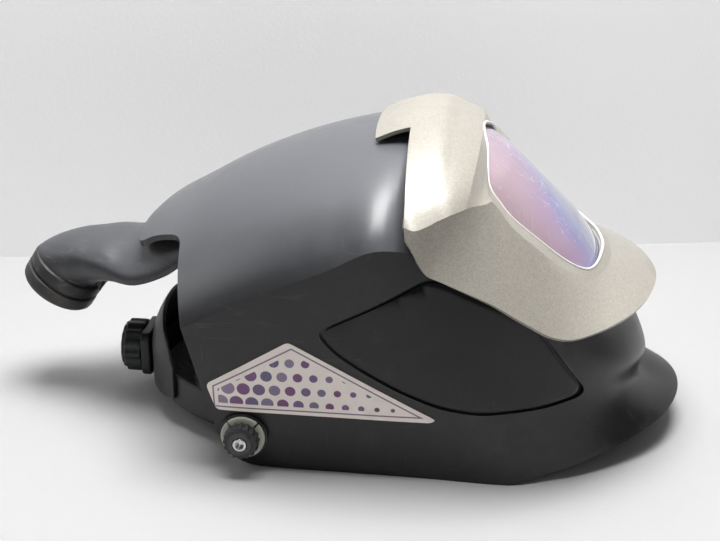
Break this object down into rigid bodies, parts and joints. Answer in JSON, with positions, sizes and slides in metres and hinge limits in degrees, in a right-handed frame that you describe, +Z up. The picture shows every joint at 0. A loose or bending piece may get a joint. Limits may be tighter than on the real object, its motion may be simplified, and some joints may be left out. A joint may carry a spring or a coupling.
{
  "type": "welding helmet",
  "caption": "Hard-shell welding helmet with a clip-on silver front cover, auto-darkening filter, side windows, rear air duct and a folding ratchet headband.",
  "frame": {"origin": "middle of the helmet's footprint, on the surface that it lies on", "axes": "+X towards the wearer's front, +Z up, -Y the wearer's right"},
  "size_m": [0.3992, 0.2294, 0.1862],
  "materials": {
    "dome_plastic": "satin, finely scratched",
    "silver_paint": "satin silver paint",
    "lens_clear": "clear, violet cast",
    "filter_dark": "glossy",
    "window_gloss": "gloss",
    "label_cream": "printed film",
    "duct_grey": "satin, worn at the hose end",
    "boss_pale": "matte",
    "stud_steel": "plated",
    "knob_grey": "matte",
    "band_dark": "satin",
    "pad_fleece": "fleece"
  },
  "bodies": {
    "helmet": {"shell": "dome_plastic", "front_cover": "silver_paint", "lens_plate": "lens_clear", "filter_cassette": "filter_dark", "side_window_right": "window_gloss", "side_window_left": "window_gloss", "side_label_right": "label_cream", "side_label_left": "label_cream", "air_duct": "duct_grey", "hose_connector": "duct_grey", "pivot_disc_right": "boss_pale", "pivot_disc_left": "boss_pale"},
    "headband": {"headband_ring": "band_dark", "brow_pad": "pad_fleece", "rear_cradle": "band_dark", "nape_strap": "band_dark", "nape_pad": "pad_fleece", "crown_strap": "band_dark", "headband_arm_right": "band_dark", "headband_arm_left": "band_dark", "pivot_stud_right": "stud_steel", "pivot_stud_left": "stud_steel", "ratchet_housing": "band_dark"},
    "tension_knob_right": {"pivot_knob_right": "knob_grey"},
    "tension_knob_left": {"pivot_knob_left": "knob_grey"},
    "ratchet_knob": {"ratchet_knob": "band_dark"}
  },
  "joints": [
    {"name": "headband_swing", "type": "hinge", "parent": "helmet", "child": "headband", "pos_m": [-0.04473, 0, 0.0223], "axis": [0, -1, 0], "range_deg": [0, 68]},
    {"name": "tension_right", "type": "hinge", "parent": "helmet", "child": "tension_knob_right", "pos_m": [-0.04473, -0.1056, 0.0223], "axis": [0, -1, 0], "range_deg": [-180, 180]},
    {"name": "tension_left", "type": "hinge", "parent": "helmet", "child": "tension_knob_left", "pos_m": [-0.04473, 0.1056, 0.0223], "axis": [0, 1, 0], "range_deg": [-180, 180]},
    {"name": "ratchet_turn", "type": "hinge", "parent": "headband", "child": "ratchet_knob", "pos_m": [-0.12623, 0, 0.0255], "axis": [-1, 0, 0], "range_deg": [-180, 180]}
  ]
}
